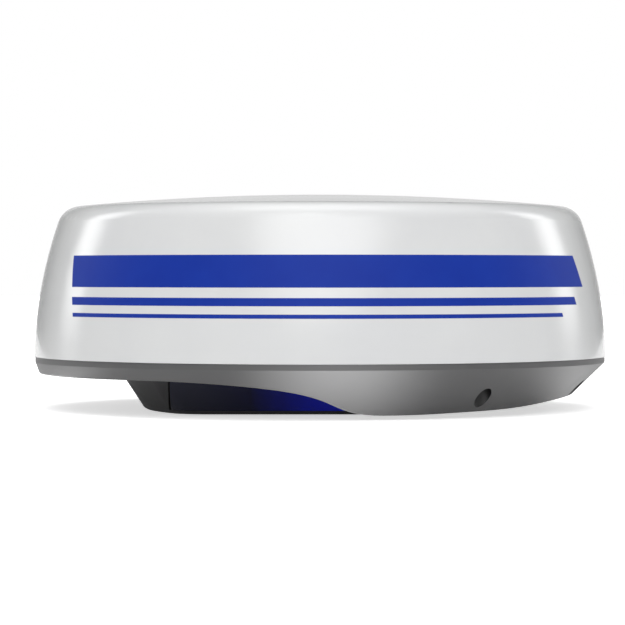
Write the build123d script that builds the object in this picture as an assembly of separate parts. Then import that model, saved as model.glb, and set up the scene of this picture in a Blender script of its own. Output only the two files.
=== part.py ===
from build123d import *
from math import cos, hypot, pi, radians, sin, sqrt
import os

# Radar dome antenna, 24 inch class.  Millimetres.
# The origin is the centre of the foot's underside, on the antenna's axis of rotation.
# +Z is up, -X points at the bow of the boat, +X aft, -Y to port and +Y to starboard.

# ---- outer shape -------------------------------------------------------------------
dome_radius = 304.5
dome_rise = 171.0            # crown above the split
split_height = 55.3          # split above the foot's underside
dome_wall = 3.0
side_curve = 475.0           # radius of the dome's side, seen in section
side_lean = 0.025            # sine of the side's lean at the split
crown_curve = 2685.0
shoulder_radius = 24.0

# ---- rim, cover screws and seal ----------------------------------------------------
seam_gap = 0.4
band_height = 6.0            # upright band under the split
band_step = 1.2              # band and skirt stand this far inside the dome
rim_width = 19.5
rim_depth = 18.0             # shallow underside at the bow, below the split
floor_thickness = 4.2
gasket_width = 5.6
gasket_inset = 13.5          # seal's middle line, in from the dome's edge
gasket_height = 3.6
groove_clearance = 0.2
screw_inset = 27.5           # bolt circle, in from the dome's edge
screw_angles = [15, 54.4, 103, 152, -152, -103, -54.4, -15]
screw_radius = 3.0
screw_reach = 13.0           # screw end above the split
screw_seat = 10.0            # seat of the screw heads, below the split
screw_head_radius = 5.0
screw_head_height = 6.0
screw_clearance = 0.3
washer_radius = 6.8
washer_thickness = 1.2
clip_radius = 5.0
clip_thickness = 1.0
well_radius = 8.4
well_wall = 4.0
insert_radius = 4.5
insert_length = 12.0
thread_clearance = 0.1
cover_boss_radius = 9.0
cover_boss_height = 24.0
cover_flange_height = 10.0

vent_inset = 54.5            # breather vent, in from the dome's edge
vent_cap = 9.0
vent_stem = 5.0
vent_recess = 2.2
vent_nut = 8.0
vent_nut_height = 3.0

# ---- skirt -------------------------------------------------------------------------
skirt_shift = 0.325          # the skirt's circles move forward by this much per mm of depth
skirt_shrink = 0.700         # and lose this much radius
skirt_clearance = 3.7        # deepest point of the skirt above the foot's underside
swoop_start = -175.0
swoop_line = [(-91.0, 0.089), (-43.0, 0.229), (-14.0, 0.387),
              (5.4, 0.58), (24.8, 0.836), (40.0, 0.95)]      # x, share of the drop from the rim
swoop_end = 80.0
aft_line = [(140.0, 0.955), (202.0, 0.869), (248.0, 0.705)]  # the underside rises again aft
swoop_round = 2.6
skirt_wall = 4.0
trough_margin = 4.0

# ---- foot --------------------------------------------------------------------------
foot_nose = 187.0
foot_flare = 24.6            # the nose leans out this much up to the rim
foot_half_width = 160.0
foot_side_flare = 12.0
foot_nose_curve = 283.0
foot_corner = 45.0
foot_tail = 150.0
foot_tail_half_width = 90.0
foot_shoulder = 95.0
foot_tail_corner = 22.0
foot_edge = 1.6
foot_wall = 7.0
foot_floor = 5.0
foot_fit = 0.4
bolt_spacing_x = 233.0
bolt_spacing_y = 141.5
bolt_bore = 3.4              # tapping bore of an M8 thread
bolt_insert_radius = 6.5
bolt_insert_length = 24.0
bolt_boss_wall = 8.0
foot_screw_places = [(-160, 95), (0, 120), (122, 92)]
foot_screw_radius = 2.5
foot_screw_seat = 6.0
foot_screw_head = 4.0
foot_boss_height = 6.5
accent_front = -152.0
accent_back = 60.0
accent_gap = 2.0             # open groove ahead of each panel
accent_lip = 3.6
accent_thickness = 3.0
accent_fit = 0.2
strap_places = (-60, 60)     # cross walls inside the foot
strap_half = 2.0

# ---- cable bay ---------------------------------------------------------------------
bay_front = 178.0
bay_length = 54.0
bay_half_width = 46.0
bay_ceiling = 26.0           # below the split
bay_wall = 4.0
socket_place = 22.0          # half the distance between the two sockets
socket_barrel = 8.5
socket_bore = 6.2
socket_drop = 9.0
socket_flange = 11.0
socket_flange_thickness = 2.0
socket_stem = 7.5
socket_nut = 10.0
pin_radius = 0.8

# ---- turret, shaft and drive -------------------------------------------------------
turret_radius = 26.0
turret_height = 46.0
turret_flange = 45.0
turret_flange_thickness = 8.0
turret_screw_circle = 39.0
shaft_radius = 8.0
shaft_bore = 4.5
shaft_flange = 20.0
shaft_flange_thickness = 3.0
bearing_radius = 16.0
bearing_width = 9.0
bearing_lip = 1.0
race_share = 0.3375          # each race's share of the bearing's radial section
ball_count = 11
ball_play = 0.1
bearing_stop = 3.0           # shoulder that each outer race sits against
shaft_room = 3.0             # free space round the shaft below the bearings
running_gap = 0.06
pulley_gap = 2.0             # turret's top to the shaft's flange
pulley_height = 10.0
pulley_radius = 42.0
pinion_radius = 10.5
pulley_lip = 3.0
pulley_lip_thickness = 1.0
belt_width = 7.4
belt_thickness = 1.8
belt_gap = 0.15
tooth_pitch = 5.5
pulley_screw_half = 10.5     # half the pitch of the four screws round the shaft
carrier_screw_half = 24.0
magnet_circle = 33.0
magnet_radius = 2.5
magnet_height = 3.0
motor_offset = 105.0
motor_radius = 21.0
motor_height = 37.0
motor_pilot = 11.0
motor_shaft_radius = 2.5
bracket_half_x = 30.0
bracket_half_y = 25.0
bracket_plate = 3.0
bracket_foot = 14.0
motor_screw_half = 11.0
bracket_screw_y = 16.0
probe_radius = 3.0
rotor_cup_radius = 8.0
rotor_cup_height = 14.0

# ---- antenna -----------------------------------------------------------------------
sweep_clearance = 42.0       # array's end, in from the dome's edge
crown_clearance = 31.5       # array's top, down from the dome's crown
array_depth = 28.0
array_front = -16.0
array_sheet = 2.0
patch_columns = 24
patch_size = 14.0
patch_row_pitch = 40.0
carrier_plate = 3.0
carrier_half_x = 32.0
carrier_half_y = 34.0
carrier_rise = 42.0

# ---- electronics -------------------------------------------------------------------
board_thickness = 1.6
board_standoff = 8.0
board_x = (-75.0, 85.0)
board_y = (55.0, 170.0)
rf_x = (-195.0, -75.0)
rf_half_y = 70.0
rf_height = 16.0
rf_lid_thickness = 2.0
small_screw = 1.5
plug_height = 8.0
lead_radius = 2.2
coax_radius = 1.8
lead_ends = {-1: 101, 1: 125}
lead_corner_x = (158.0, 118.0)
board_corner = 7.0           # screws in from the board's edges
rf_fins = 9

# ---- heights and radii worked out from the sizes above -------------------------------
screw_circle = dome_radius - screw_inset
rim_bottom = split_height - rim_depth
floor_top = rim_bottom + floor_thickness
cavity_radius = dome_radius - rim_width
boss_radius = well_radius + well_wall
bay_roof = split_height - bay_ceiling
turret_top = floor_top + turret_height
pulley_bottom = turret_top + pulley_gap + shaft_flange_thickness
pulley_top = pulley_bottom + pulley_height
belt_level = (pulley_bottom + pulley_top) / 2
array_bottom = pulley_top + carrier_plate
array_height = split_height + dome_rise - crown_clearance - array_bottom
array_half = dome_radius - sweep_clearance
array_back = array_front + array_depth
board_level = floor_top + board_standoff
motor_top = pulley_bottom - 1.0 - bracket_plate
foot_height = rim_bottom
skirt_depth = split_height - skirt_clearance
lower_bearing_at = floor_top + turret_flange_thickness + bearing_lip
upper_bearing_at = turret_top - bearing_width - bearing_lip
lead_level = board_level + board_thickness + plug_height / 2
bay_middle = bay_front + bay_length / 2
turret_screw_half = turret_screw_circle * sqrt(0.5)
bearing_race = race_share * (bearing_radius - shaft_radius)
ball_radius = (bearing_radius - shaft_radius - 2 * bearing_race) / 2 - ball_play
vent_place = dome_radius - vent_inset


def save(shape, node):
    export_step(shape, "parts/" + node + ".step")


def group(solids, node):
    save(Compound(children=list(solids)), node)


def post(x, y, z, radius, height):
    return Pos(x, y, z) * Cylinder(radius, height, align=(Align.CENTER, Align.CENTER, Align.MIN))


def ring(z, outer, inner, height, x=0.0, y=0.0):
    return post(x, y, z, outer, height) - post(x, y, z - 1, inner, height + 2)


def block(x, y, z):
    """A box between two limits on each axis."""
    size = (x[1] - x[0], y[1] - y[0], z[1] - z[0])
    middle = ((x[0] + x[1]) / 2, (y[0] + y[1]) / 2, (z[0] + z[1]) / 2)
    return Pos(*middle) * Box(*size)


def on_circle(radius, angle):
    return radius * cos(radians(angle)), radius * sin(radians(angle))


def lead(points, radius, bend):
    path = FilletPolyline(*points, radius=bend)
    return sweep(Plane(path @ 0, z_dir=path % 0) * Circle(radius), path)


def hex_screw(x, y, seat, shank_end, shank, head, head_height):
    """A socket-head screw; the head is on the far side of the seat from the shank's end."""
    down = shank_end < seat
    shank_low = shank_end if down else seat
    head_low = seat if down else seat - head_height
    body = post(x, y, shank_low, shank, abs(seat - shank_end)) + post(x, y, head_low, head, head_height)
    socket_low = seat + head_height * 0.4 if down else seat - head_height - 1
    socket = extrude(RegularPolygon(shank * 0.9, 6), head_height * 0.6 + 1)
    return body - Pos(x, y, socket_low) * socket


# ---- radome ------------------------------------------------------------------------
def dome_body(inset):
    """The dome's solid envelope, with every curve moved inwards by the inset."""
    side_x = dome_radius - side_curve * sqrt(1 - side_lean ** 2)
    side_z = -side_curve * side_lean
    crown_z = dome_rise - crown_curve
    side_r = side_curve - inset
    crown_r = crown_curve - inset
    # where the side's circle crosses the crown's
    span = hypot(side_x, side_z - crown_z)
    along = (crown_r ** 2 - side_r ** 2 + span ** 2) / (2 * span)
    across = sqrt(crown_r ** 2 - along ** 2)
    ux = side_x / span
    uz = (side_z - crown_z) / span
    corner = (along * ux + across * uz, crown_z + along * uz - across * ux)
    start = (side_x + sqrt(side_r ** 2 - side_z ** 2), 0)
    top = (0, crown_z + crown_r)
    outline = Line((0, 0), start) + RadiusArc(start, corner, -side_r) + RadiusArc(corner, top, -crown_r)
    profile = make_face(outline + Line(top, (0, 0)))
    corner_vertex = profile.vertices().sort_by_distance(corner)[0]
    profile = fillet(corner_vertex, shoulder_radius - inset)
    return Pos(0, 0, split_height) * revolve(Plane.XZ * profile, Axis.Z)


def radome_cover():
    outer = dome_body(0)
    shell = outer - dome_body(dome_wall)
    flange = ring(split_height, dome_radius - dome_wall / 2, cavity_radius, cover_flange_height)
    bosses = []
    for angle in screw_angles:
        x, y = on_circle(screw_circle, angle)
        bosses.append(post(x, y, split_height, cover_boss_radius, cover_boss_height))
        web_top = split_height + cover_boss_height - 4
        web = block((screw_circle, cavity_radius + 4), (-3, 3), (split_height, web_top))
        bosses.append(Rot(0, 0, angle) * web)
    shell += (flange + bosses) & outer
    for angle in screw_angles:
        x, y = on_circle(screw_circle, angle)
        shell -= post(x, y, split_height - 1, insert_radius + 0.05, insert_length + 1)
        shell -= post(x, y, split_height, screw_radius + screw_clearance, screw_reach + 3)
    return shell


def cover_inserts():
    for angle in screw_angles:
        x, y = on_circle(screw_circle, angle)
        yield ring(split_height, insert_radius, screw_radius + thread_clearance, insert_length, x, y)


# ---- base housing ------------------------------------------------------------------
def skirt_cone(inset, depth):
    """The slanting cone of the skirt, from under the band down to a depth."""
    top_radius = dome_radius - band_step - inset
    drop = depth - band_height
    top = Pos(0, 0, split_height - band_height) * Circle(top_radius)
    low = Pos(-skirt_shift * drop, 0, split_height - depth) * Circle(top_radius - skirt_shrink * drop)
    return loft(Sketch() + [top, low], ruled=True)


def underside_cut(shift_x, raise_z):
    """What is cleared below the housing: flat at the bow, a swoop, then the gently rising aft part."""
    def at(x, share):
        depth = rim_depth + share * (skirt_depth - rim_depth)
        return (x + shift_x, split_height - depth + raise_z)

    reach = dome_radius * 1.15
    below = -split_height
    start = at(swoop_start, 0)
    middle = at(swoop_end, 1)
    aft = [at(*place) for place in aft_line]
    slope = (aft[-1][1] - aft[-2][1]) / (aft[-1][0] - aft[-2][0])
    far = (reach, aft[-1][1] + slope * (reach - aft[-1][0]))
    swoop = Spline(start, *[at(*place) for place in swoop_line], middle, tangents=[(1, 0), (1, 0)])
    rise = Spline(middle, *aft, tangents=[(1, 0), (1, slope)])
    outline = Line((-reach, start[1]), start) + swoop + rise + Line(aft[-1], far)
    outline += Polyline(far, (reach, below), (-reach, below), (-reach, start[1]))
    return extrude(Plane.XZ * make_face(outline), reach, both=True)


def base_housing():
    body = skirt_cone(0, skirt_depth + 2) - underside_cut(0, 0)
    curved = body.edges().filter_by(GeomType.BSPLINE)
    hem = [edge for edge in curved if edge.bounding_box().size.Y > 20]
    body = fillet(hem, swoop_round)
    body += post(0, 0, split_height - band_height, dome_radius - band_step, band_height - seam_gap)
    body -= post(0, 0, floor_top, cavity_radius, rim_depth)

    # deep trough aft, round the foot
    bay_x = (bay_front - bay_wall, bay_front + bay_length + bay_wall)
    bay_y = (-bay_half_width - bay_wall, bay_half_width + bay_wall)
    trough = skirt_cone(skirt_wall, skirt_depth) - underside_cut(skirt_wall, skirt_wall)
    trough &= post(0, 0, 0, screw_circle - boss_radius - trough_margin, floor_top + 1)
    trough -= foot_body(-foot_fit - skirt_wall, foot_height + floor_thickness * 2)
    trough -= block(bay_x, bay_y, (0, bay_roof + bay_wall))
    body -= trough

    body -= foot_body(-foot_fit, foot_height)
    body -= block((bay_front, bay_front + bay_length), (-bay_half_width, bay_half_width), (-1, bay_roof))
    for y in (-socket_place, socket_place):
        body -= post(bay_middle, y, bay_roof - 1, socket_stem + 0.1, bay_wall + 2)

    for angle in screw_angles:
        x, y = on_circle(screw_circle, angle)
        body += post(x, y, floor_top - 1, boss_radius, split_height - seam_gap - floor_top + 1)
    for angle in screw_angles:
        x, y = on_circle(screw_circle, angle)
        body -= post(x, y, -1, well_radius, split_height - screw_seat + 1)
        body -= post(x, y, 0, screw_radius + screw_clearance, split_height)
        body -= post(x, y, split_height - seam_gap - 2 * clip_thickness, clip_radius + screw_clearance, 5)

    for x, y in foot_screw_places:
        for side in (-1, 1):
            body += post(x, side * y, floor_top - 1, 6, foot_boss_height + 1)
            body -= post(x, side * y, 0, foot_screw_radius + 0.1, floor_top + foot_boss_height - 1.5)
    groove_half = gasket_width / 2 + groove_clearance
    middle = dome_radius - gasket_inset
    body -= ring(split_height - gasket_height - groove_clearance, middle + groove_half,
                 middle - groove_half, gasket_height)
    body -= post(-vent_place, 0, rim_bottom - 1, vent_cap + 0.5, vent_recess + 1)
    body -= post(-vent_place, 0, rim_bottom, vent_stem + 0.1, floor_thickness + 1)
    return body


def radome_gasket():
    middle = dome_radius - gasket_inset
    half = gasket_width / 2
    return ring(split_height - gasket_height - 0.1, middle + half, middle - half, gasket_height + 0.1)


def cover_screws():
    for angle in screw_angles:
        x, y = on_circle(screw_circle, angle)
        yield hex_screw(x, y, split_height - screw_seat - washer_thickness, split_height + screw_reach,
                        screw_radius, screw_head_radius, screw_head_height)


def cover_washers():
    for angle in screw_angles:
        x, y = on_circle(screw_circle, angle)
        yield ring(split_height - screw_seat - washer_thickness, washer_radius, screw_radius + 0.05,
                   washer_thickness, x, y)


def cover_clips():
    for angle in screw_angles:
        x, y = on_circle(screw_circle, angle)
        yield ring(split_height - seam_gap - 2 * clip_thickness, clip_radius, screw_radius + 0.05,
                   clip_thickness, x, y)


# ---- breather vent -----------------------------------------------------------------
def breather_vent():
    cap = post(-vent_place, 0, rim_bottom + 0.2, vent_cap, vent_recess - 0.2)
    for angle in range(0, 360, 45):
        x, y = on_circle(vent_cap * 0.6, angle)
        cap -= post(x - vent_place, y, rim_bottom - 1, 0.9, 1.8)
    return cap + post(-vent_place, 0, rim_bottom + 1, vent_stem, floor_thickness + vent_nut_height)


def vent_lock_nut():
    nut = extrude(RegularPolygon(vent_nut, 6), vent_nut_height)
    return Pos(-vent_place, 0, floor_top) * (nut - post(0, 0, -1, vent_stem + 0.05, vent_nut_height + 2))


# ---- foot --------------------------------------------------------------------------
def foot_plan(inset, rise):
    """The foot's outline at a height given as a share of the way up."""
    nose = foot_nose + foot_flare * rise - inset
    half = foot_half_width + foot_side_flare * rise - inset
    curve = foot_nose_curve + foot_flare * rise - inset
    tail = foot_tail - inset
    tail_half = foot_tail_half_width - inset / 2
    corner_x = curve - nose - sqrt(curve ** 2 - half ** 2)
    outline = ThreePointArc((corner_x, -half), (-nose, 0), (corner_x, half))
    outline += Polyline((corner_x, half), (foot_shoulder, half), (tail, tail_half), (tail, -tail_half),
                        (foot_shoulder, -half), (corner_x, -half))
    plan = make_face(outline)
    plan = fillet(plan.vertices().filter_by_position(Axis.X, -foot_nose, 0), foot_corner - inset)
    return fillet(plan.vertices().filter_by_position(Axis.X, foot_shoulder - 1, foot_tail * 1.2),
                  foot_tail_corner - inset / 2)


def foot_body(inset, height, low=0.0):
    lower = Pos(0, 0, low) * foot_plan(inset, low / foot_height)
    upper = Pos(0, 0, height) * foot_plan(inset, height / foot_height)
    return loft(Sketch() + [lower, upper], ruled=True)


def accent_zone(front, lip, side):
    """The part of the foot's side wall that an accent panel covers."""
    y = (0, 400) if side > 0 else (-400, 0)
    return block((front, accent_back), (min(y), max(y)), (lip, foot_height + 1))


def foot_block():
    base_edge = Pos(0, 0, 0) * foot_plan(foot_edge, 0)
    lower = Pos(0, 0, foot_edge) * foot_plan(0, foot_edge / foot_height)
    body = loft(Sketch() + [base_edge, lower], ruled=True) + foot_body(0, foot_height, foot_edge)
    pocket = foot_body(foot_wall, foot_height + 1, foot_floor)
    bolt_boss = bolt_insert_radius + bolt_boss_wall
    for x, y in corners(bolt_spacing_x / 2, bolt_spacing_y / 2):
        pocket -= post(x, y, 0, bolt_boss, foot_height + 2)
    for x, y in foot_screws_at():
        pocket -= post(x, y, 0, foot_screw_radius + 5, foot_height + 2)
    pocket -= block((-foot_nose, foot_tail), (-strap_half, strap_half), (0, foot_height + 2))
    for x in strap_places:
        wall = (x - strap_half, x + strap_half)
        pocket -= block(wall, (-foot_half_width, foot_half_width), (0, foot_height + 2))
    body -= pocket
    for x, y in corners(bolt_spacing_x / 2, bolt_spacing_y / 2):
        body -= post(x, y, -1, bolt_insert_radius + 0.05, bolt_insert_length + 1.5)
        body -= post(x, y, 0, bolt_bore + 0.6, foot_height - 3)
    for x, y in foot_screws_at():
        body -= post(x, y, -1, foot_screw_radius + 0.2, foot_height + 2)
        body -= post(x, y, -1, foot_screw_radius * 2 + 0.5, foot_screw_seat + 1)
    skin = foot_body(-1, foot_height, 0) - foot_body(accent_thickness + accent_fit, foot_height + 1, 0)
    for side in (-1, 1):
        body -= skin & accent_zone(accent_front - accent_gap, accent_lip, side)
    return body


def accent_panel(side):
    skin = foot_body(0, foot_height - accent_fit, 0) - foot_body(accent_thickness, foot_height + 1, 0)
    zone = accent_zone(accent_front, accent_lip + accent_fit, side)
    return skin & zone & block((accent_front, accent_back - accent_fit), (-400, 400), (0, foot_height))


def corners(half_x, half_y):
    return [(sx * half_x, sy * half_y) for sx in (-1, 1) for sy in (-1, 1)]


def foot_screws_at():
    return [(x, side * y) for x, y in foot_screw_places for side in (-1, 1)]


def mount_inserts():
    for x, y in corners(bolt_spacing_x / 2, bolt_spacing_y / 2):
        yield ring(0.3, bolt_insert_radius, bolt_bore, bolt_insert_length, x, y)


def foot_screws():
    for x, y in foot_screws_at():
        yield hex_screw(x, y, foot_screw_seat, floor_top + 3, foot_screw_radius, foot_screw_radius * 2,
                        foot_screw_head)


# ---- sockets -----------------------------------------------------------------------
def bay_socket(y, pins):
    x = bay_middle
    barrel = post(x, y, bay_roof - socket_drop, socket_barrel, socket_drop)
    barrel += post(x, y, bay_roof - socket_flange_thickness, socket_flange, socket_flange_thickness)
    barrel += post(x, y, bay_roof, socket_stem, bay_wall + 4.5)
    barrel -= post(x, y, bay_roof - socket_drop - 1, socket_bore, socket_drop + 1)
    for number in range(pins):
        px, py = on_circle(socket_bore * 0.55, 360 * number / pins)
        barrel += post(x + px, y + py, bay_roof - socket_drop + 3, pin_radius, socket_drop - 2)
    return barrel


def socket_nuts():
    nut = extrude(RegularPolygon(socket_nut, 6), 3) - post(0, 0, -1, socket_stem + 0.05, 5)
    for y in (-socket_place, socket_place):
        yield Pos(bay_middle, y, bay_roof + bay_wall) * nut


# ---- turret, shaft and bearings ------------------------------------------------------
def bearing_housing():
    body = post(0, 0, floor_top, turret_flange, turret_flange_thickness)
    body += post(0, 0, floor_top, turret_radius, turret_height)
    for angle in (0, 90, 270):
        gusset = Plane.XZ * make_face(Polyline((turret_radius - 1, 0), (turret_flange - 2, 0),
                                               (turret_radius - 1, turret_height * 0.7), close=True))
        gusset = Pos(0, 0, floor_top + turret_flange_thickness - 1) * extrude(gusset, 2, both=True)
        body += Rot(0, 0, angle) * gusset
    body -= post(0, 0, floor_top - 1, shaft_radius + shaft_room, turret_flange_thickness + 2)
    body -= post(0, 0, floor_top, bearing_radius - bearing_stop, turret_height + 1)
    body -= post(0, 0, lower_bearing_at, bearing_radius + 0.02, bearing_width)
    body -= post(0, 0, upper_bearing_at, bearing_radius + 0.02, bearing_width + 2)
    body -= block((-turret_flange - 1, 0), (-3, 3), (floor_top - 1, floor_top + 5))
    for x, y in corners(turret_screw_half, turret_screw_half):
        body -= post(x, y, floor_top - 1, 2.7, turret_flange_thickness + 2)
    return body


def turret_screws():
    top = floor_top + turret_flange_thickness
    for x, y in corners(turret_screw_half, turret_screw_half):
        yield hex_screw(x, y, top, floor_top + 0.3, 2.5, 4.2, 5)


def ball_bearing(z):
    yield ring(z, bearing_radius, bearing_radius - bearing_race, bearing_width)
    yield ring(z, shaft_radius + bearing_race, shaft_radius + running_gap, bearing_width)
    middle = (shaft_radius + bearing_radius) / 2
    for number in range(ball_count):
        x, y = on_circle(middle, 360 * number / ball_count)
        yield Pos(x, y, z + bearing_width / 2) * Sphere(ball_radius)


def main_shaft():
    low = floor_top + 5.5
    body = post(0, 0, low, shaft_radius, pulley_top - 0.5 - low)
    body += post(0, 0, pulley_bottom - shaft_flange_thickness, shaft_flange, shaft_flange_thickness)
    body -= post(0, 0, low - 1, shaft_bore, pulley_top)
    body -= ring(floor_top + 6.6, shaft_radius + 1, shaft_radius - 0.9, 1.2)
    under_flange = pulley_bottom - shaft_flange_thickness - 1
    for x, y in corners(pulley_screw_half, pulley_screw_half):
        body -= post(x, y, under_flange, small_screw + 0.1, shaft_flange_thickness + 2)
    return body


def shaft_ring():
    body = ring(floor_top + 6.7, shaft_radius + 2, shaft_radius - 0.8, 1.0)
    return body - block((0, 20), (-3, 3), (floor_top, floor_top + 20))


def toothed_pulley(radius, bore, x):
    body = post(x, 0, pulley_bottom, radius, pulley_height)
    count = round(2 * pi * radius / tooth_pitch)
    for number in range(count):
        tx, ty = on_circle(radius + 0.5, 360 * number / count)
        body -= post(x + tx, ty, pulley_bottom + pulley_lip_thickness, 1.5, pulley_height)
    lip = min(pulley_lip, radius * 0.2)
    body += ring(pulley_bottom, radius + lip, radius - 3, pulley_lip_thickness, x)
    body += ring(pulley_top - pulley_lip_thickness, radius + lip, radius - 3, pulley_lip_thickness, x)
    return body - post(x, 0, pulley_bottom - 1, bore, pulley_height + 2)


def driven_pulley():
    body = toothed_pulley(pulley_radius, shaft_radius + 0.05, 0)
    web = ring(pulley_bottom + 4, pulley_radius - 5, shaft_flange + 3, pulley_height)
    for x, y in corners(carrier_screw_half, carrier_screw_half):
        web -= post(x, y, pulley_bottom, 5, pulley_height * 2)
    body -= web
    for x, y in corners(pulley_screw_half, pulley_screw_half):
        body -= post(x, y, pulley_bottom - 1, small_screw + 0.1, pulley_height + 2)
        body -= post(x, y, pulley_top - 4, 3.2, 5)
    for x, y in corners(carrier_screw_half, carrier_screw_half):
        body -= post(x, y, pulley_top - 7, small_screw + 0.3, 8)
    return body - post(-magnet_circle, 0, pulley_bottom - 1, magnet_radius + 0.05, magnet_height + 1)


def pulley_screws():
    for x, y in corners(pulley_screw_half, pulley_screw_half):
        yield hex_screw(x, y, pulley_top - 4, pulley_bottom - shaft_flange_thickness + 0.2, small_screw, 2.9, 3)


# ---- heading sensor ------------------------------------------------------------------
def index_magnet():
    return post(-magnet_circle, 0, pulley_bottom, magnet_radius, magnet_height)


def heading_sensor():
    """A moulded post on the turret's flange, with a small board and its sensor chip on top."""
    foot = floor_top + turret_flange_thickness
    x = (-magnet_circle - 5, -magnet_circle + 5)
    top = pulley_bottom - 5
    yield block(x, (-5, 5), (foot, top)) - block((x[0] + 2, x[1] + 1), (-3, 3), (foot + 3, top - 3))
    yield block(x, (-5, 5), (top, top + board_thickness))
    yield block((x[0] + 3, x[1] - 3), (-1.5, 1.5), (top + board_thickness, top + board_thickness + 1.2))


# ---- motor and belt ------------------------------------------------------------------
def motor_body():
    low = motor_top - motor_height
    body = post(motor_offset, 0, low, motor_radius, motor_height)
    body += post(motor_offset, 0, motor_top, motor_pilot, bracket_plate * 0.7)
    body -= ring(low + motor_height * 0.25, motor_radius + 1, motor_radius - 0.8,
                 motor_height * 0.5, motor_offset)
    for x, y in corners(motor_screw_half, motor_screw_half):
        body -= post(motor_offset + x, y, motor_top - 5, small_screw + 0.1, 9)
    return body - post(motor_offset, 0, low + 8, motor_shaft_radius + 0.08, motor_height + 5)


def motor_shaft():
    low = motor_top - motor_height + 9
    return post(motor_offset, 0, low, motor_shaft_radius, pulley_top + 1 - low)


def drive_pulley():
    return toothed_pulley(pinion_radius, motor_shaft_radius + 0.03, motor_offset)


def motor_bracket():
    """Folded sheet: a top plate, two legs and two feet turned outwards."""
    t = bracket_plate
    left = motor_offset - bracket_half_x
    right = motor_offset + bracket_half_x
    y = (-bracket_half_y, bracket_half_y)
    body = block((left, right), y, (motor_top, motor_top + t))
    body += block((left, left + t), y, (floor_top, motor_top + t))
    body += block((right - t, right), y, (floor_top, motor_top + t))
    body += block((left - bracket_foot, left + t), y, (floor_top, floor_top + t))
    body += block((right - t, right + bracket_foot), y, (floor_top, floor_top + t))
    for x in (left - 1, right - t - 1):
        body -= block((x, x + t + 2), (-12, 12), (floor_top + 8, motor_top - 10))
    body -= post(motor_offset, 0, motor_top - 1, motor_pilot + 0.2, t + 2)
    for x, py in corners(motor_screw_half, motor_screw_half):
        body -= post(motor_offset + x, py, motor_top - 1, small_screw + 0.3, t + 2)
    for x, py in bracket_feet():
        body -= post(x, py, floor_top - 1, 2.2, t + 2)
    return body


def bracket_feet():
    reach = bracket_half_x + bracket_foot / 2 + 1
    return [(motor_offset + sx * reach, sy * bracket_screw_y) for sx in (-1, 1) for sy in (-1, 1)]


def motor_screws():
    for x, y in corners(motor_screw_half, motor_screw_half):
        yield hex_screw(motor_offset + x, y, motor_top + bracket_plate, motor_top - 4, small_screw, 2.6, 0.9)


def bracket_screws():
    for x, y in bracket_feet():
        yield hex_screw(x, y, floor_top + bracket_plate, floor_top + 0.2, 2, 3.5, 3)


def belt_loop(big, small):
    """The tangent outline round the two pulleys."""
    lean = (big - small) / motor_offset
    rise = sqrt(1 - lean ** 2)
    top_big = (big * lean, big * rise)
    top_small = (motor_offset + small * lean, small * rise)
    outline = Line(top_big, top_small)
    outline += ThreePointArc(top_small, (motor_offset + small, 0), (top_small[0], -top_small[1]))
    outline += Line((top_small[0], -top_small[1]), (top_big[0], -top_big[1]))
    outline += ThreePointArc((top_big[0], -top_big[1]), (-big, 0), top_big)
    return make_face(outline)


def drive_belt():
    inner = belt_gap
    outer = belt_gap + belt_thickness
    loop = belt_loop(pulley_radius + outer, pinion_radius + outer)
    loop -= belt_loop(pulley_radius + inner, pinion_radius + inner)
    return Pos(0, 0, belt_level - belt_width / 2) * extrude(loop, belt_width)


# ---- rotary joint --------------------------------------------------------------------
def rotary_joint_stator():
    probe_height = array_bottom + 8 - floor_top
    return post(0, 0, floor_top, shaft_radius + 2, 4.5) + post(0, 0, floor_top, probe_radius, probe_height)


def rotary_joint_rotor():
    body = post(0, 0, array_bottom + 0.1, rotor_cup_radius, rotor_cup_height)
    body += post(0, 0, pulley_top + 0.2, rotor_cup_radius - 1, carrier_plate)
    return body - post(0, 0, pulley_top - 1, probe_radius + 0.5, carrier_plate + 11)


# ---- antenna array -------------------------------------------------------------------
def array_frame():
    """A folded channel, open towards the array's face."""
    z = (array_bottom, array_bottom + array_height)
    y = (-array_half, array_half)
    body = block((array_front, array_back), y, z)
    t = array_sheet
    body -= block((array_front - 1, array_back - t), (y[0] - 1, y[1] + 1), (z[0] + t, z[1] - t))
    body -= post(0, 0, z[0] - 1, rotor_cup_radius + 2, t + 2)
    body -= Pos(array_back - 5, 0, coax_level()) * extrude(Plane.YZ * Circle(4), 10)
    for screw_y, screw_z in array_screws_at():
        body -= Pos(array_back - 5, screw_y, screw_z) * extrude(Plane.YZ * Circle(small_screw + 0.1), 10)
    for side in (-1, 1):
        for place in (0.35, 0.6, 0.85):
            window = SlotOverall(array_half * 0.16, array_height * 0.3)
            body -= Pos(array_back - 5, side * place * array_half, array_bottom + array_height / 2) * extrude(
                Plane.YZ * window, 10)
    return body


def coax_level():
    return array_bottom + carrier_rise + 12


def array_end_caps():
    z = (array_bottom + array_sheet + 0.1, array_bottom + array_height - array_sheet - 0.1)
    for side in (-1, 1):
        y = sorted((side * (array_half - 4), side * (array_half - 0.5)))
        yield block((array_front + 0.1, array_back - array_sheet - 0.1), y, z)


def array_panel():
    z = (array_bottom, array_bottom + array_height)
    return block((array_front - 2, array_front), (-array_half, array_half), z)


def array_patches():
    pitch = 2 * array_half / patch_columns
    size = min(patch_size, pitch * 0.7) / 2
    for row in (-0.5, 0.5):
        z = array_bottom + array_height / 2 + row * patch_row_pitch
        for column in range(patch_columns):
            y = (column + 0.5 - patch_columns / 2) * pitch
            yield block((array_front - 2.3, array_front - 2), (y - size, y + size), (z - size, z + size))


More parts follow.
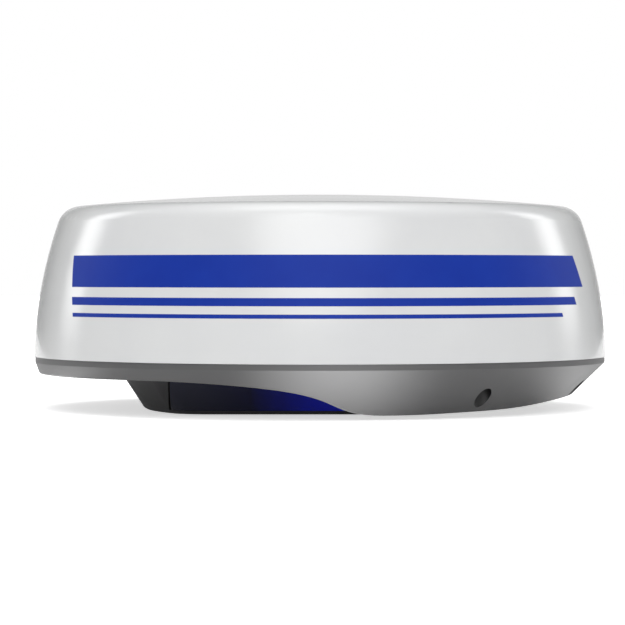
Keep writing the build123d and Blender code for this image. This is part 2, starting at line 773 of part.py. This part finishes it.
def antenna_carrier():
    """The folded bracket between the pulley and the array's back."""
    t = carrier_plate
    x = (-carrier_half_x, carrier_half_x)
    y = (-carrier_half_y, carrier_half_y)
    body = block(x, y, (pulley_top, pulley_top + t))
    body = fillet(body.edges().filter_by(Axis.Z), 8)
    body += block((array_back, array_back + t), y, (pulley_top, array_bottom + carrier_rise))
    for py in (-carrier_half_y, carrier_half_y - t):
        rib = Plane.XZ * make_face(Polyline((array_back + 1, 0), (carrier_half_x - 6, 0),
                                            (array_back + 1, carrier_rise * 0.8), close=True))
        body += Pos(0, py + t, pulley_top + 1) * extrude(rib, t)
    body -= post(0, 0, pulley_top - 1, rotor_cup_radius + 0.5, t + 2)
    for px, py in corners(carrier_screw_half, carrier_screw_half):
        body -= post(px, py, pulley_top - 1, small_screw + 0.3, t + 2)
    for y, z in array_screws_at():
        body -= Pos(array_back - 1, y, z) * extrude(Plane.YZ * Circle(small_screw + 0.3), t + 2)
    return body


def array_screws_at():
    rises = (14, carrier_rise - 8)
    return [(y, array_bottom + rise) for y in (-22, 22) for rise in rises]


def carrier_screws():
    for x, y in corners(carrier_screw_half, carrier_screw_half):
        yield hex_screw(x, y, array_bottom, pulley_top - 6, small_screw, 2.9, 3)


def array_screws():
    """Screws from the carrier's upright into the array's back."""
    screw = hex_screw(0, 0, 0, -carrier_plate - array_sheet, small_screw, 2.9, 2.6)
    for y, z in array_screws_at():
        yield Pos(array_back + carrier_plate, y, z) * Rot(0, 90, 0) * screw


def feed_board():
    x = (array_back + 0.1, array_back + 0.1 + board_thickness)
    z = (array_bottom + carrier_rise - 12, array_bottom + carrier_rise + 30)
    yield block(x, (44, 150), z)
    for y in (70, 95, 120):
        yield block((x[1], x[1] + 3), (y - 8, y + 8), (z[0] + 10, z[1] - 10))
    yield post(x[1] + 4, 58, coax_level() - 4, 3, 8)


def rotor_coax():
    turn = array_back + 12
    points = [(0, 0, array_bottom + rotor_cup_height + 0.2), (0, 0, coax_level()), (turn, 0, coax_level()),
              (turn, 30, coax_level()), (array_back + board_thickness + 4.2, 54.8, coax_level())]
    return lead(points, coax_radius, [8, 8, 6])


# ---- boards and radio module -----------------------------------------------------------
def circuit_board(side):
    y = sorted((side * board_y[0], side * board_y[1]))
    body = block(board_x, y, (board_level, board_level + board_thickness))
    body = fillet(body.edges().filter_by(Axis.Z), 5)
    for x, py in board_corners(side):
        body -= post(x, py, board_level - 1, small_screw + 0.2, board_thickness + 2)
    return body


def board_corners(side):
    xs = (board_x[0] + board_corner, board_x[1] - board_corner)
    ys = (board_y[0] + board_corner, board_y[1] - board_corner)
    return [(x, side * y) for x in xs for y in ys]


def board_standoffs():
    for side in (-1, 1):
        for x, y in board_corners(side):
            yield ring(floor_top, 3.2, small_screw + 0.05, board_standoff, x, y)


def board_screws():
    for side in (-1, 1):
        for x, y in board_corners(side):
            yield hex_screw(x, y, board_level + board_thickness, floor_top + 2, small_screw, 2.8, 2.2)


def main_board_parts():
    """Processor with its can, memory, connectors and a row of capacitors."""
    top = board_level + board_thickness
    yield block((-40, 0), (90, 130), (top, top + 4))
    for x in (12, 28, 44):
        yield block((x, x + 11), (96, 110), (top, top + 1.4))
    yield block((50, 70), (62, 74), (top, top + plug_height))
    yield block((60, 80), (119, 131), (top, top + plug_height))
    for number in range(5):
        yield post(-62 + number * 12, 148, top, 4, 9)


def power_board_parts():
    """Two chokes, a transformer, reservoir capacitors and the input connector."""
    top = board_level + board_thickness
    for x in (-45, -12):
        yield ring(top, 13, 6, 9, x, -90)
    yield block((15, 50), (-130, -95), (top, top + 14))
    for number in range(4):
        yield post(-55 + number * 18, -145, top, 6.5, 15)
    yield block((60, 80), (-107, -95), (top, top + plug_height))


def radio_module():
    """A cast box whose inside is divided by screening walls."""
    z = (floor_top, floor_top + rf_height)
    body = block(rf_x, (-rf_half_y, rf_half_y), z)
    body = fillet(body.edges().filter_by(Axis.Z), 6)
    width = (rf_x[1] - rf_x[0] - 12) / 3
    for number in range(3):
        x = rf_x[0] + 3 + number * (width + 3)
        for y in ((-rf_half_y + 12, -2), (2, rf_half_y - 12)):
            body -= block((x, x + width), y, (z[0] + 3, z[1] + 1))
    for x, y in rf_screws_at():
        body -= post(x, y, z[1] - 8, small_screw + 0.1, 9)
    return body


def rf_screws_at():
    steps = [rf_x[0] + 8, (rf_x[0] + rf_x[1]) / 2, rf_x[1] - 8]
    return [(x, side * (rf_half_y - 6)) for x in steps for side in (-1, 1)]


def radio_lid():
    z = floor_top + rf_height
    body = block((rf_x[0], rf_x[1]), (-rf_half_y, rf_half_y), (z, z + rf_lid_thickness))
    body = fillet(body.edges().filter_by(Axis.Z), 6)
    for number in range(rf_fins):
        x = rf_x[0] + 20 + number * (rf_x[1] - rf_x[0] - 40) / (rf_fins - 1)
        body += block((x - 1, x + 1), (-rf_half_y + 18, rf_half_y - 18), (z + 1, z + rf_lid_thickness + 5))
    for x, y in rf_screws_at():
        body -= post(x, y, z - 1, small_screw + 0.2, rf_lid_thickness + 2)
    return body


def radio_screws():
    top = floor_top + rf_height + rf_lid_thickness
    for x, y in rf_screws_at():
        yield hex_screw(x, y, top, top - 8, small_screw, 2.8, 2.2)


def radio_coax():
    z = floor_top + 2.3
    points = [(rf_x[1] + 0.1, 0, z), (-10.1, 0, z)]
    path = Line(*points)
    return sweep(Plane(path @ 0, z_dir=path % 0) * Circle(coax_radius), path)


# ---- leads -----------------------------------------------------------------------------
def socket_lead_route(side):
    """From a socket's tail up out of the trough, over the floor and into the plug on its board."""
    far, near = lead_corner_x
    tail = (bay_middle, side * socket_place)
    end = side * lead_ends[side]
    return [(*tail, bay_roof + bay_wall + 4.7), (*tail, lead_level), (far, side * 62, lead_level),
            (near, end, lead_level), (80.1, end, lead_level)]


def socket_lead(side):
    return lead(socket_lead_route(side), lead_radius, [7, 20, 20])


def motor_lead():
    points = [(motor_offset, motor_radius + 0.1, lead_level), (motor_offset, 46, lead_level),
              (90, 68, lead_level), (70.1, 68, lead_level)]
    return lead(points, lead_radius, [10, 12])


def lead_clips():
    """Moulded saddles that hold the two socket leads to the floor."""
    for side in (-1, 1):
        near, far = socket_lead_route(side)[2:4]
        middle = (Vector(near) + Vector(far)) / 2
        turn = (Vector(far) - Vector(near)).get_signed_angle(Vector(1, 0, 0), Vector(0, 0, -1))
        body = block((-3, 3), (-5, 5), (floor_top - lead_level, lead_radius + 2))
        body -= Rot(0, 90, 0) * Cylinder(lead_radius + 0.1, 30)
        yield Pos(*middle) * Rot(0, 0, turn) * body


os.makedirs("parts", exist_ok=True)

save(radome_cover(), "radome_cover")
group(cover_inserts(), "cover_inserts")

save(base_housing(), "base_housing")
save(radome_gasket(), "radome_gasket")
group(cover_screws(), "cover_screws")
group(cover_washers(), "cover_screw_washers")
group(cover_clips(), "cover_screw_clips")
save(breather_vent(), "breather_vent")
save(vent_lock_nut(), "vent_lock_nut")

save(foot_block(), "foot_block")
save(accent_panel(-1), "accent_panel_port")
save(accent_panel(1), "accent_panel_starboard")
group(mount_inserts(), "mount_inserts")
group(foot_screws(), "foot_screws")

save(bay_socket(-socket_place, 4), "power_socket")
save(bay_socket(socket_place, 8), "network_socket")
group(socket_nuts(), "socket_nuts")

save(bearing_housing(), "bearing_housing")
group(turret_screws(), "turret_screws")
group(ball_bearing(lower_bearing_at), "lower_bearing")
group(ball_bearing(upper_bearing_at), "upper_bearing")
save(main_shaft(), "main_shaft")
save(shaft_ring(), "shaft_retaining_ring")
save(driven_pulley(), "driven_pulley")
group(pulley_screws(), "pulley_screws")
save(index_magnet(), "index_magnet")
group(heading_sensor(), "heading_sensor")

save(motor_body(), "motor_body")
save(motor_shaft(), "motor_shaft")
save(drive_pulley(), "drive_pulley")
save(motor_bracket(), "motor_bracket")
group(motor_screws(), "motor_screws")
group(bracket_screws(), "bracket_screws")
save(drive_belt(), "drive_belt")

save(rotary_joint_stator(), "rotary_joint_stator")
save(rotary_joint_rotor(), "rotary_joint_rotor")
save(rotor_coax(), "rotor_coax")
save(radio_coax(), "radio_coax")

save(array_frame(), "array_frame")
group(array_end_caps(), "array_end_caps")
save(array_panel(), "array_panel")
group(array_patches(), "array_patches")
save(antenna_carrier(), "antenna_carrier")
group(carrier_screws(), "carrier_screws")
group(array_screws(), "array_screws")
group(feed_board(), "feed_board")

save(circuit_board(1), "main_board")
save(circuit_board(-1), "power_board")
group(main_board_parts(), "main_board_parts")
group(power_board_parts(), "power_board_parts")
group(board_standoffs(), "board_standoffs")
group(board_screws(), "board_screws")
save(radio_module(), "radio_module")
save(radio_lid(), "radio_lid")
group(radio_screws(), "radio_screws")

save(socket_lead(-1), "power_lead")
save(socket_lead(1), "network_lead")
save(motor_lead(), "motor_lead")
group(lead_clips(), "lead_clips")
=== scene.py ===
from math import cos, radians, sin

import bmesh
import bpy
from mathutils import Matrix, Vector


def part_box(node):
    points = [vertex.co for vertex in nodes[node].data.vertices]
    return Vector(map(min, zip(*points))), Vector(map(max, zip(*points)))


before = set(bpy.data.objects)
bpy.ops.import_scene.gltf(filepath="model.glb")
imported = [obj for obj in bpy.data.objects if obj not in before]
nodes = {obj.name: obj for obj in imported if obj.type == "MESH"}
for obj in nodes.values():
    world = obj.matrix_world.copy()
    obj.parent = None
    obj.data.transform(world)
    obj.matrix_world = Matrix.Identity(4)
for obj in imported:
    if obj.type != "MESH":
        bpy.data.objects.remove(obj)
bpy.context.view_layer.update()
studio = bpy.context.scene

# ---------------------------------------------------------------------------
# Where the dome is seen from: level, a little above the split, square on to
# its port side, from three metres away with a long lens.
# ---------------------------------------------------------------------------
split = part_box("radome_cover")[0][2]
eye_distance = 3.0
eye_height = split + 0.088

lens = bpy.data.cameras.new("catalogue_camera")
lens.lens = 161.4
lens.sensor_width = 36.0
lens.shift_x = -0.0120
lens.shift_y = -0.0629
lens.clip_end = 60.0
camera = bpy.data.objects.new("catalogue_camera", lens)
camera.location = (0.0, -eye_distance, eye_height)
camera.rotation_euler = (radians(90), 0.0, 0.0)
studio.collection.objects.link(camera)
studio.camera = camera

# ---------------------------------------------------------------------------
# The studio: a white room whose walls glow softly. It is brightest overhead
# and high in front, with a tall panel at each side for the upright highlights,
# and three faint lamps on the floor for the sheen under the skirt.
# ---------------------------------------------------------------------------
class Pin:
    """A shader socket that Python's own signs can add up, scale and compare."""

    def __init__(self, tree, socket):
        self.tree = tree
        self.socket = socket

    def node(self, kind, settings, inputs, out=0):
        """Any other node: its type, its settings, then the values or pins of its sockets."""
        made = self.tree.nodes.new("ShaderNode" + kind)
        for name, value in settings.items():
            if name == "stops":
                while len(made.color_ramp.elements) < len(value):
                    made.color_ramp.elements.new(0.5)
                for stop, (place, shade) in zip(made.color_ramp.elements, value):
                    stop.position = place
                    stop.color = shade if isinstance(shade, tuple) else (shade, shade, shade, 1.0)
            else:
                setattr(made, name, value)
        for name, value in inputs.items():
            if isinstance(value, Pin):
                self.tree.links.new(value.socket, made.inputs[name])
            else:
                made.inputs[name].default_value = value
        return Pin(self.tree, made.outputs[out])

    def sum(self, operation, first, second=0.0, third=0.0):
        return self.node("Math", {"operation": operation}, {0: first, 1: second, 2: third})

    def __add__(self, other):
        return self.sum("ADD", self, other)

    __radd__ = __add__

    def __sub__(self, other):
        return self.sum("SUBTRACT", self, other)

    def __rsub__(self, other):
        return self.sum("SUBTRACT", other, self)

    def __mul__(self, other):
        return self.sum("MULTIPLY", self, other)

    __rmul__ = __mul__

    def __gt__(self, other):
        return self.sum("GREATER_THAN", self, other)

    def __lt__(self, other):
        return self.sum("LESS_THAN", self, other)

    def __abs__(self):
        return self.sum("ABSOLUTE", self)

    def __mod__(self, other):
        return self.sum("FLOORED_MODULO", self, other)

    def step(self, low, high):
        """0 below low, 1 above high, smooth between."""
        return self.node("MapRange", {"interpolation_type": "SMOOTHSTEP"}, {0: self, 1: low, 2: high})

    def noise(self, scale, detail=2.0, stretch=(1.0, 1.0, 1.0)):
        drawn = self.node("Mapping", {}, {"Vector": self, "Scale": stretch})
        return self.node("TexNoise", {}, {"Vector": drawn, "Scale": scale, "Detail": detail})

    def mix(self, mask, colour, other):
        return self.node("Mix", {"data_type": "RGBA"}, {0: mask, 6: colour, 7: other}, out=2)

    def split(self):
        """The three coordinates of a place."""
        parts = self.tree.nodes.new("ShaderNodeSeparateXYZ")
        self.tree.links.new(self.socket, parts.inputs[0])
        return [Pin(self.tree, socket) for socket in parts.outputs]


studio.view_settings.view_transform = "Standard"
world = bpy.data.worlds.new("white_room")
world.use_nodes = True
walls = world.node_tree
toward = Pin(walls, walls.nodes.new("ShaderNodeTexCoord").outputs["Generated"])
x, y, z = toward.split()
turn = abs(x).sum("ARCTAN2", abs(x), y * -1.0)     # 0 towards the eye, pi behind the dome
room_glow, panel_glow, front_glow, back_glow = 0.17, 2.8, 2.8, 0.5
front_softbox = (0.0, -0.78, 0.62)                 # the way from the dome to the middle of it
panel_width = turn.step(1.86, 2.04) * (1.0 - turn.step(2.10, 2.30))
panel_height = z.step(-0.08, 0.26) * (1.0 - z.step(0.50, 0.80))
high_front = toward.node("VectorMath", {"operation": "DOT_PRODUCT"}, {0: toward, 1: front_softbox}, out=1)
behind = turn.step(2.70, 3.05) * (1.0 - z.step(0.12, 0.40))
overhead = 0.95 * z.step(0.62, 0.98) + 1.6 * z.step(0.90, 1.0)
glow = (room_glow + panel_glow * panel_width * panel_height + front_glow * high_front.step(0.84, 1.0)
        + overhead + back_glow * behind)
seen = Pin(walls, walls.nodes.new("ShaderNodeLightPath").outputs["Is Camera Ray"])
glow = seen + (1.0 - seen) * glow
walls.links.new(glow.socket, walls.nodes["Background"].inputs["Strength"])
walls.nodes["Background"].inputs["Color"].default_value = (1.0, 1.0, 1.0, 1.0)
studio.world = world


def floor_lamp(name, middle, width, depth, watts):
    """A lamp lying on the floor, brightest in its middle, which only glosses what hangs over it."""
    lamp = bpy.data.lights.new(name, "AREA")
    lamp.shape = "RECTANGLE"
    lamp.size = width
    lamp.size_y = depth
    lamp.energy = watts
    lamp.use_nodes = True
    tree = lamp.node_tree
    across, along = Pin(tree, tree.nodes.new("ShaderNodeNewGeometry").outputs["Parametric"]).split()[:2]
    bell = across * (1.0 - across) * along * (1.0 - along) * 16.0
    tree.links.new((bell * bell).socket, tree.nodes["Emission"].inputs["Strength"])
    panel = bpy.data.objects.new(name, lamp)
    panel.location = (*middle, 0.001)               # just off the floor
    panel.rotation_euler = (radians(180), 0.0, 0.0)
    panel.visible_camera = False
    panel.visible_diffuse = False
    studio.collection.objects.link(panel)


floor_lamp("skirt_gleam", (0.026, -0.36), 0.28, 0.26, 1.9)
floor_lamp("aft_gleam", (0.310, -0.10), 0.20, 0.34, 0.30)
floor_lamp("bow_gleam", (-0.320, -0.10), 0.14, 0.34, 0.32)


# ---------------------------------------------------------------------------
# The pale floor, a sheet of white acrylic lit softly from beneath. Its finish
# is the first of all, so what every finish is made with is here too.
# ---------------------------------------------------------------------------
def shade(red, green, blue):
    """A colour as it is read off a screen, 0 to 255, as the shader wants it."""
    linear = [((c / 255 + 0.055) / 1.055) ** 2.4 if c > 10 else c / 255 / 12.92 for c in (red, green, blue)]
    return (*linear, 1.0)


def new_finish(name, **sockets):
    """A finish with its plain values set, its shader, and the object's own coordinates to draw with."""
    finish = bpy.data.materials.new(name)
    finish.use_nodes = True
    tree = finish.node_tree
    shader = tree.nodes["Principled BSDF"]
    for socket, value in sockets.items():
        shader.inputs[socket.replace("_", " ")].default_value = value
    place = Pin(tree, tree.nodes.new("ShaderNodeTexCoord").outputs["Object"])
    return finish, shader, place


def feed(pin, shader, socket):
    pin.tree.links.new(pin.socket, shader.inputs[socket])


def emboss(height, shader, depth, strength=1.0):
    """Raises the surface by a height from 0 to 1 times a depth in metres."""
    bump = height.node("Bump", {}, {"Height": height, "Distance": depth, "Strength": strength})
    feed(bump, shader, "Normal")


def dress(finish, *names):
    """Gives CAD nodes their finish."""
    for name in names:
        for slot in nodes[name].material_slots:
            slot.material = finish


floor_finish, shader, place = new_finish("pale_floor", Roughness=0.9, Emission_Color=(1.0, 1.0, 1.0, 1.0),
                                         Emission_Strength=1.0)
grain = place.noise(3.0)
feed(place.mix(grain, shade(250, 250, 250), shade(253, 253, 253)), shader, "Base Color")
x, y, z = place.split()
away = (x * x + y * y).sum("SQRT", x * x + y * y)
near_light, fade_from, fade_to = 0.55, 0.45, 1.4   # share of the full light near the dome, then metres out
looked_at = Pin(place.tree, place.tree.nodes.new("ShaderNodeLightPath").outputs["Is Camera Ray"])
lit = looked_at * (near_light + (1.0 - near_light) * away.step(fade_from, fade_to))
feed(place.mix(lit, (0.12, 0.12, 0.12, 1.0), (1.0, 1.0, 1.0, 1.0)), shader, "Emission Color")
mesh = bpy.data.meshes.new("studio_floor")
shape = bmesh.new()
bmesh.ops.create_grid(shape, x_segments=2, y_segments=2, size=14.0)    # half its side
shape.to_mesh(mesh)
shape.free()
studio_floor = bpy.data.objects.new("studio_floor", mesh)
studio_floor.location = (0.0, 0.0, -0.0005)        # a hair under the foot
mesh.materials.append(floor_finish)
studio.collection.objects.link(studio_floor)

# ---------------------------------------------------------------------------
# Radome cover: one glossy white moulding of gel-coated glass fibre, with a
# plain blue stripe printed along each side.
# ---------------------------------------------------------------------------
gelcoat, shader, place = new_finish("gelcoat_white", Coat_Weight=0.6, Coat_Roughness=0.06)
x, y, z = place.split()
around = x.sum("ARCTAN2", x, abs(y))
slant, bow_end, aft_end = 1.1, -0.93, 1.22         # radians per metre up, and the ends in radians
lean = around + (z - split) * slant
stripes = None
for top, bottom, shorter in ((0.106, 0.074, 0.0), (0.064, 0.056, 0.10), (0.048, 0.044, 0.22)):
    level = ((z - split) > bottom) * ((z - split) < top)
    stripe = level * (lean > bow_end) * (lean < aft_end - shorter)
    stripes = stripe if stripes is None else stripes + stripe
weather = place.noise(9.0, 3.0)
feed(place.mix(weather.step(0.35, 0.75), shade(226, 227, 227), shade(222, 223, 224)), shader, "Base Color")
feed(0.16 + 0.06 * place.noise(60.0, 3.0), shader, "Roughness")
emboss(place.noise(160.0, 1.0), shader, 0.00003)
ink = place.node("BsdfPrincipled", {}, {"Roughness": 0.55, "Specular IOR Level": 0.2})
feed(place.mix(place.noise(30.0, 2.0), shade(13, 46, 150), shade(17, 54, 160)), ink.socket.node, "Base Color")
printed = place.node("MixShader", {}, {0: stripes, 1: Pin(place.tree, shader.outputs[0]), 2: ink})
place.tree.links.new(printed.socket, place.tree.nodes["Material Output"].inputs["Surface"])
dress(gelcoat, "radome_cover")

# ---------------------------------------------------------------------------
# Base housing: a grey glass-filled moulding with a fine spark-eroded texture
# and a satin sheen. Inside each cover screw's well the colour is painted shade:
# near-black, for the shade that falls in there.
# ---------------------------------------------------------------------------
base_grey, shader, place = new_finish("base_satin_grey")
mottle = place.noise(14.0, 3.0)
moulded_grey = place.mix(mottle, shade(84, 84, 85), shade(90, 90, 90))
x, y, z = place.split()
screw_circle, well_mouth = 0.277, 0.0086
# painted shade: near-black colour inside each cover screw's well, standing in for the shade in the recess
painted_well_shade = None
for angle in (15.0, 54.4, 103.0, 152.0):           # from aft, the same to port and starboard
    across = x - screw_circle * cos(radians(angle))
    along = abs(y) - screw_circle * sin(radians(angle))
    shaded_well = (across * across + along * along) < well_mouth ** 2
    painted_well_shade = shaded_well if painted_well_shade is None else painted_well_shade + shaded_well
feed(place.mix(painted_well_shade, moulded_grey, shade(26, 26, 27)), shader, "Base Color")
fine = place.noise(1400.0, 2.0)
feed(0.38 + 0.10 * fine, shader, "Roughness")
emboss(fine, shader, 0.00005)
dress(base_grey, "base_housing")

# ---------------------------------------------------------------------------
# Foot: an aluminium casting, blasted and powder coated nearly black. The
# housing is screwed down on it, and it stands on the mast bracket.
# ---------------------------------------------------------------------------
foot_coat, shader, place = new_finish("foot_powder_coat")
pebble = place.noise(900.0, 2.0)
feed(place.mix(place.noise(20.0), shade(52, 52, 54), shade(60, 60, 62)), shader, "Base Color")
feed(0.45 + 0.12 * pebble, shader, "Roughness")
emboss(pebble, shader, 0.00008)
dress(foot_coat, "foot_block")

# ---------------------------------------------------------------------------
# Accent panels: glossy deep blue plastic, one in each side of the foot. The blue
# is their own. Its fading to nearly black towards the bow and brightening where
# they run under the skirt is painted shade and light.
# ---------------------------------------------------------------------------
accent, shader, place = new_finish("accent_blue_painted_shade", Specular_IOR_Level=0.35)
x, y, z = place.split()
# painted shade and light: the panel's own blue is darkened to nearly black towards the bow and brightened aft
shade_ramp_from, shade_ramp_to = -0.150, 0.050
along = x.step(shade_ramp_from, shade_ramp_to)
painted_shade_ramp = place.node("ValToRGB", {"stops": [
    (0.0, shade(46, 47, 62)), (0.35, shade(26, 28, 66)), (0.60, shade(22, 30, 150)), (1.0, shade(20, 44, 255))]},
    {"Fac": along})
feed(painted_shade_ramp, shader, "Base Color")
feed(0.16 + 0.08 * place.noise(300.0), shader, "Roughness")
dress(accent, "accent_panel_port", "accent_panel_starboard")

# ---------------------------------------------------------------------------
# Rubber: the seal is a moulded black ring that lies in a groove round the
# rim. The cover screws' washers are the same rubber.
# ---------------------------------------------------------------------------
rubber, shader, place = new_finish("seal_rubber", Roughness=0.75)
bloom = place.noise(220.0, 3.0)
feed(place.mix(bloom, shade(20, 20, 20), shade(34, 34, 35)), shader, "Base Color")
emboss(bloom, shader, 0.00006)
dress(rubber, "radome_gasket", "cover_screw_washers")

# ---------------------------------------------------------------------------
# Black nylon mouldings: vent, clips, sockets, end caps and sensor post. They
# come from the mould with a fine, dull texture, and are screwed or pushed in.
# ---------------------------------------------------------------------------
nylon, shader, place = new_finish("black_nylon")
fine = place.noise(1100.0, 2.0)
feed(place.mix(fine, shade(24, 24, 25), shade(34, 34, 36)), shader, "Base Color")
feed(0.36 + 0.12 * fine, shader, "Roughness")
emboss(fine, shader, 0.00004)
dress(nylon, "cover_screw_clips", "breather_vent", "vent_lock_nut", "power_socket", "network_socket",
      "array_end_caps", "heading_sensor", "lead_clips")


# ---------------------------------------------------------------------------
# Metals: screws and shaft of stainless steel, brass inserts, an aluminium
# turret and radio box, folded sheet, ground bearings and copper coax. Each is
# streaked or grained in colour, roughness and a shallow relief.
# ---------------------------------------------------------------------------
def metal(name, dark, bright, grain_scale, stretch, roughness, relief):
    finish, shader, place = new_finish(name, Metallic=1.0)
    streak = place.noise(grain_scale, 4.0, stretch)
    feed(place.mix(streak, dark, bright), shader, "Base Color")
    feed(roughness + 0.14 * streak, shader, "Roughness")
    emboss(streak, shader, relief)
    return finish


stainless = metal("stainless_steel", shade(150, 150, 148), shade(196, 196, 192), 400.0, (1, 1, 0.2), 0.22, 0.00002)
dress(stainless, "cover_screws", "mount_inserts", "foot_screws", "turret_screws", "main_shaft",
      "shaft_retaining_ring", "pulley_screws", "motor_screws", "bracket_screws", "carrier_screws",
      "array_screws", "board_screws", "radio_screws")
brass = metal("turned_brass", shade(168, 134, 66), shade(212, 178, 104), 500.0, (1, 1, 6), 0.20, 0.00002)
dress(brass, "cover_inserts", "socket_nuts", "rotary_joint_stator", "rotary_joint_rotor", "board_standoffs")
casting = metal("cast_aluminium", shade(150, 152, 154), shade(186, 188, 190), 700.0, (1, 1, 1), 0.40, 0.00010)
dress(casting, "bearing_housing", "radio_module", "radio_lid")
sheet = metal("brushed_sheet", shade(172, 174, 177), shade(206, 208, 210), 260.0, (8, 0.3, 8), 0.28, 0.00002)
dress(sheet, "array_frame", "antenna_carrier", "motor_bracket", "drive_pulley")
ground = metal("ground_steel", shade(180, 180, 182), shade(214, 214, 216), 600.0, (1, 1, 8), 0.12, 0.00001)
dress(ground, "lower_bearing", "upper_bearing", "motor_shaft", "index_magnet")
copper = metal("bare_copper", shade(176, 112, 74), shade(216, 148, 104), 500.0, (1, 1, 1), 0.24, 0.00002)
dress(copper, "rotor_coax", "radio_coax", "array_patches")

# ---------------------------------------------------------------------------
# Drive: a glass-filled nylon pulley screwed to the shaft, a rubber belt, and
# a motor in a black case, held by a folded bracket.
# ---------------------------------------------------------------------------
filled, shader, place = new_finish("filled_nylon", Roughness=0.5)
fleck = place.noise(800.0, 3.0)
feed(place.mix(fleck, shade(52, 53, 55), shade(70, 71, 73)), shader, "Base Color")
emboss(fleck, shader, 0.00005)
dress(filled, "driven_pulley")
belt_rubber, shader, place = new_finish("belt_rubber", Roughness=0.7)
weave = place.noise(500.0, 2.0, (1, 1, 4))
feed(place.mix(weave, shade(24, 24, 25), shade(40, 40, 41)), shader, "Base Color")
emboss(weave, shader, 0.00006)
dress(belt_rubber, "drive_belt")
motor_case, shader, place = new_finish("motor_case", Roughness=0.35)
speck = place.noise(600.0, 2.0)
feed(place.mix(speck, shade(30, 30, 32), shade(42, 42, 44)), shader, "Base Color")
emboss(speck, shader, 0.00003)
dress(motor_case, "motor_body")

# ---------------------------------------------------------------------------
# Boards and leads: green solder mask with tracks under it, black moulded
# parts, a pale microwave laminate on the array's face, and jacketed leads.
# ---------------------------------------------------------------------------
board, shader, place = new_finish("solder_mask", Roughness=0.3, Coat_Weight=0.4, Coat_Roughness=0.1)
x, y, z = place.split()
lanes = abs((x * 260.0 + 2.0 * place.noise(30.0)) % 1.0 - 0.5) < 0.18
routed = lanes * (place.noise(45.0, 0.0) > 0.5)
feed(place.mix(routed, shade(16, 74, 44), shade(34, 104, 62)), shader, "Base Color")
emboss(routed, shader, 0.00004)
dress(board, "main_board", "power_board", "feed_board")
moulded, shader, place = new_finish("moulded_parts", Roughness=0.45)
fine = place.noise(900.0, 2.0)
feed(place.mix(fine, shade(30, 30, 32), shade(48, 48, 50)), shader, "Base Color")
emboss(fine, shader, 0.00004)
dress(moulded, "main_board_parts", "power_board_parts")
laminate, shader, place = new_finish("microwave_laminate", Roughness=0.5)
fibre = place.noise(700.0, 2.0, (1, 0.3, 1))
feed(place.mix(fibre, shade(206, 198, 172), shade(222, 214, 190)), shader, "Base Color")
emboss(fibre, shader, 0.00003)
dress(laminate, "array_panel")
jacket, shader, place = new_finish("lead_jacket", Roughness=0.5)
scuff = place.noise(400.0, 3.0)
feed(place.mix(scuff, shade(26, 26, 28), shade(40, 40, 42)), shader, "Base Color")
emboss(scuff, shader, 0.00003)
dress(jacket, "power_lead", "network_lead", "motor_lead")
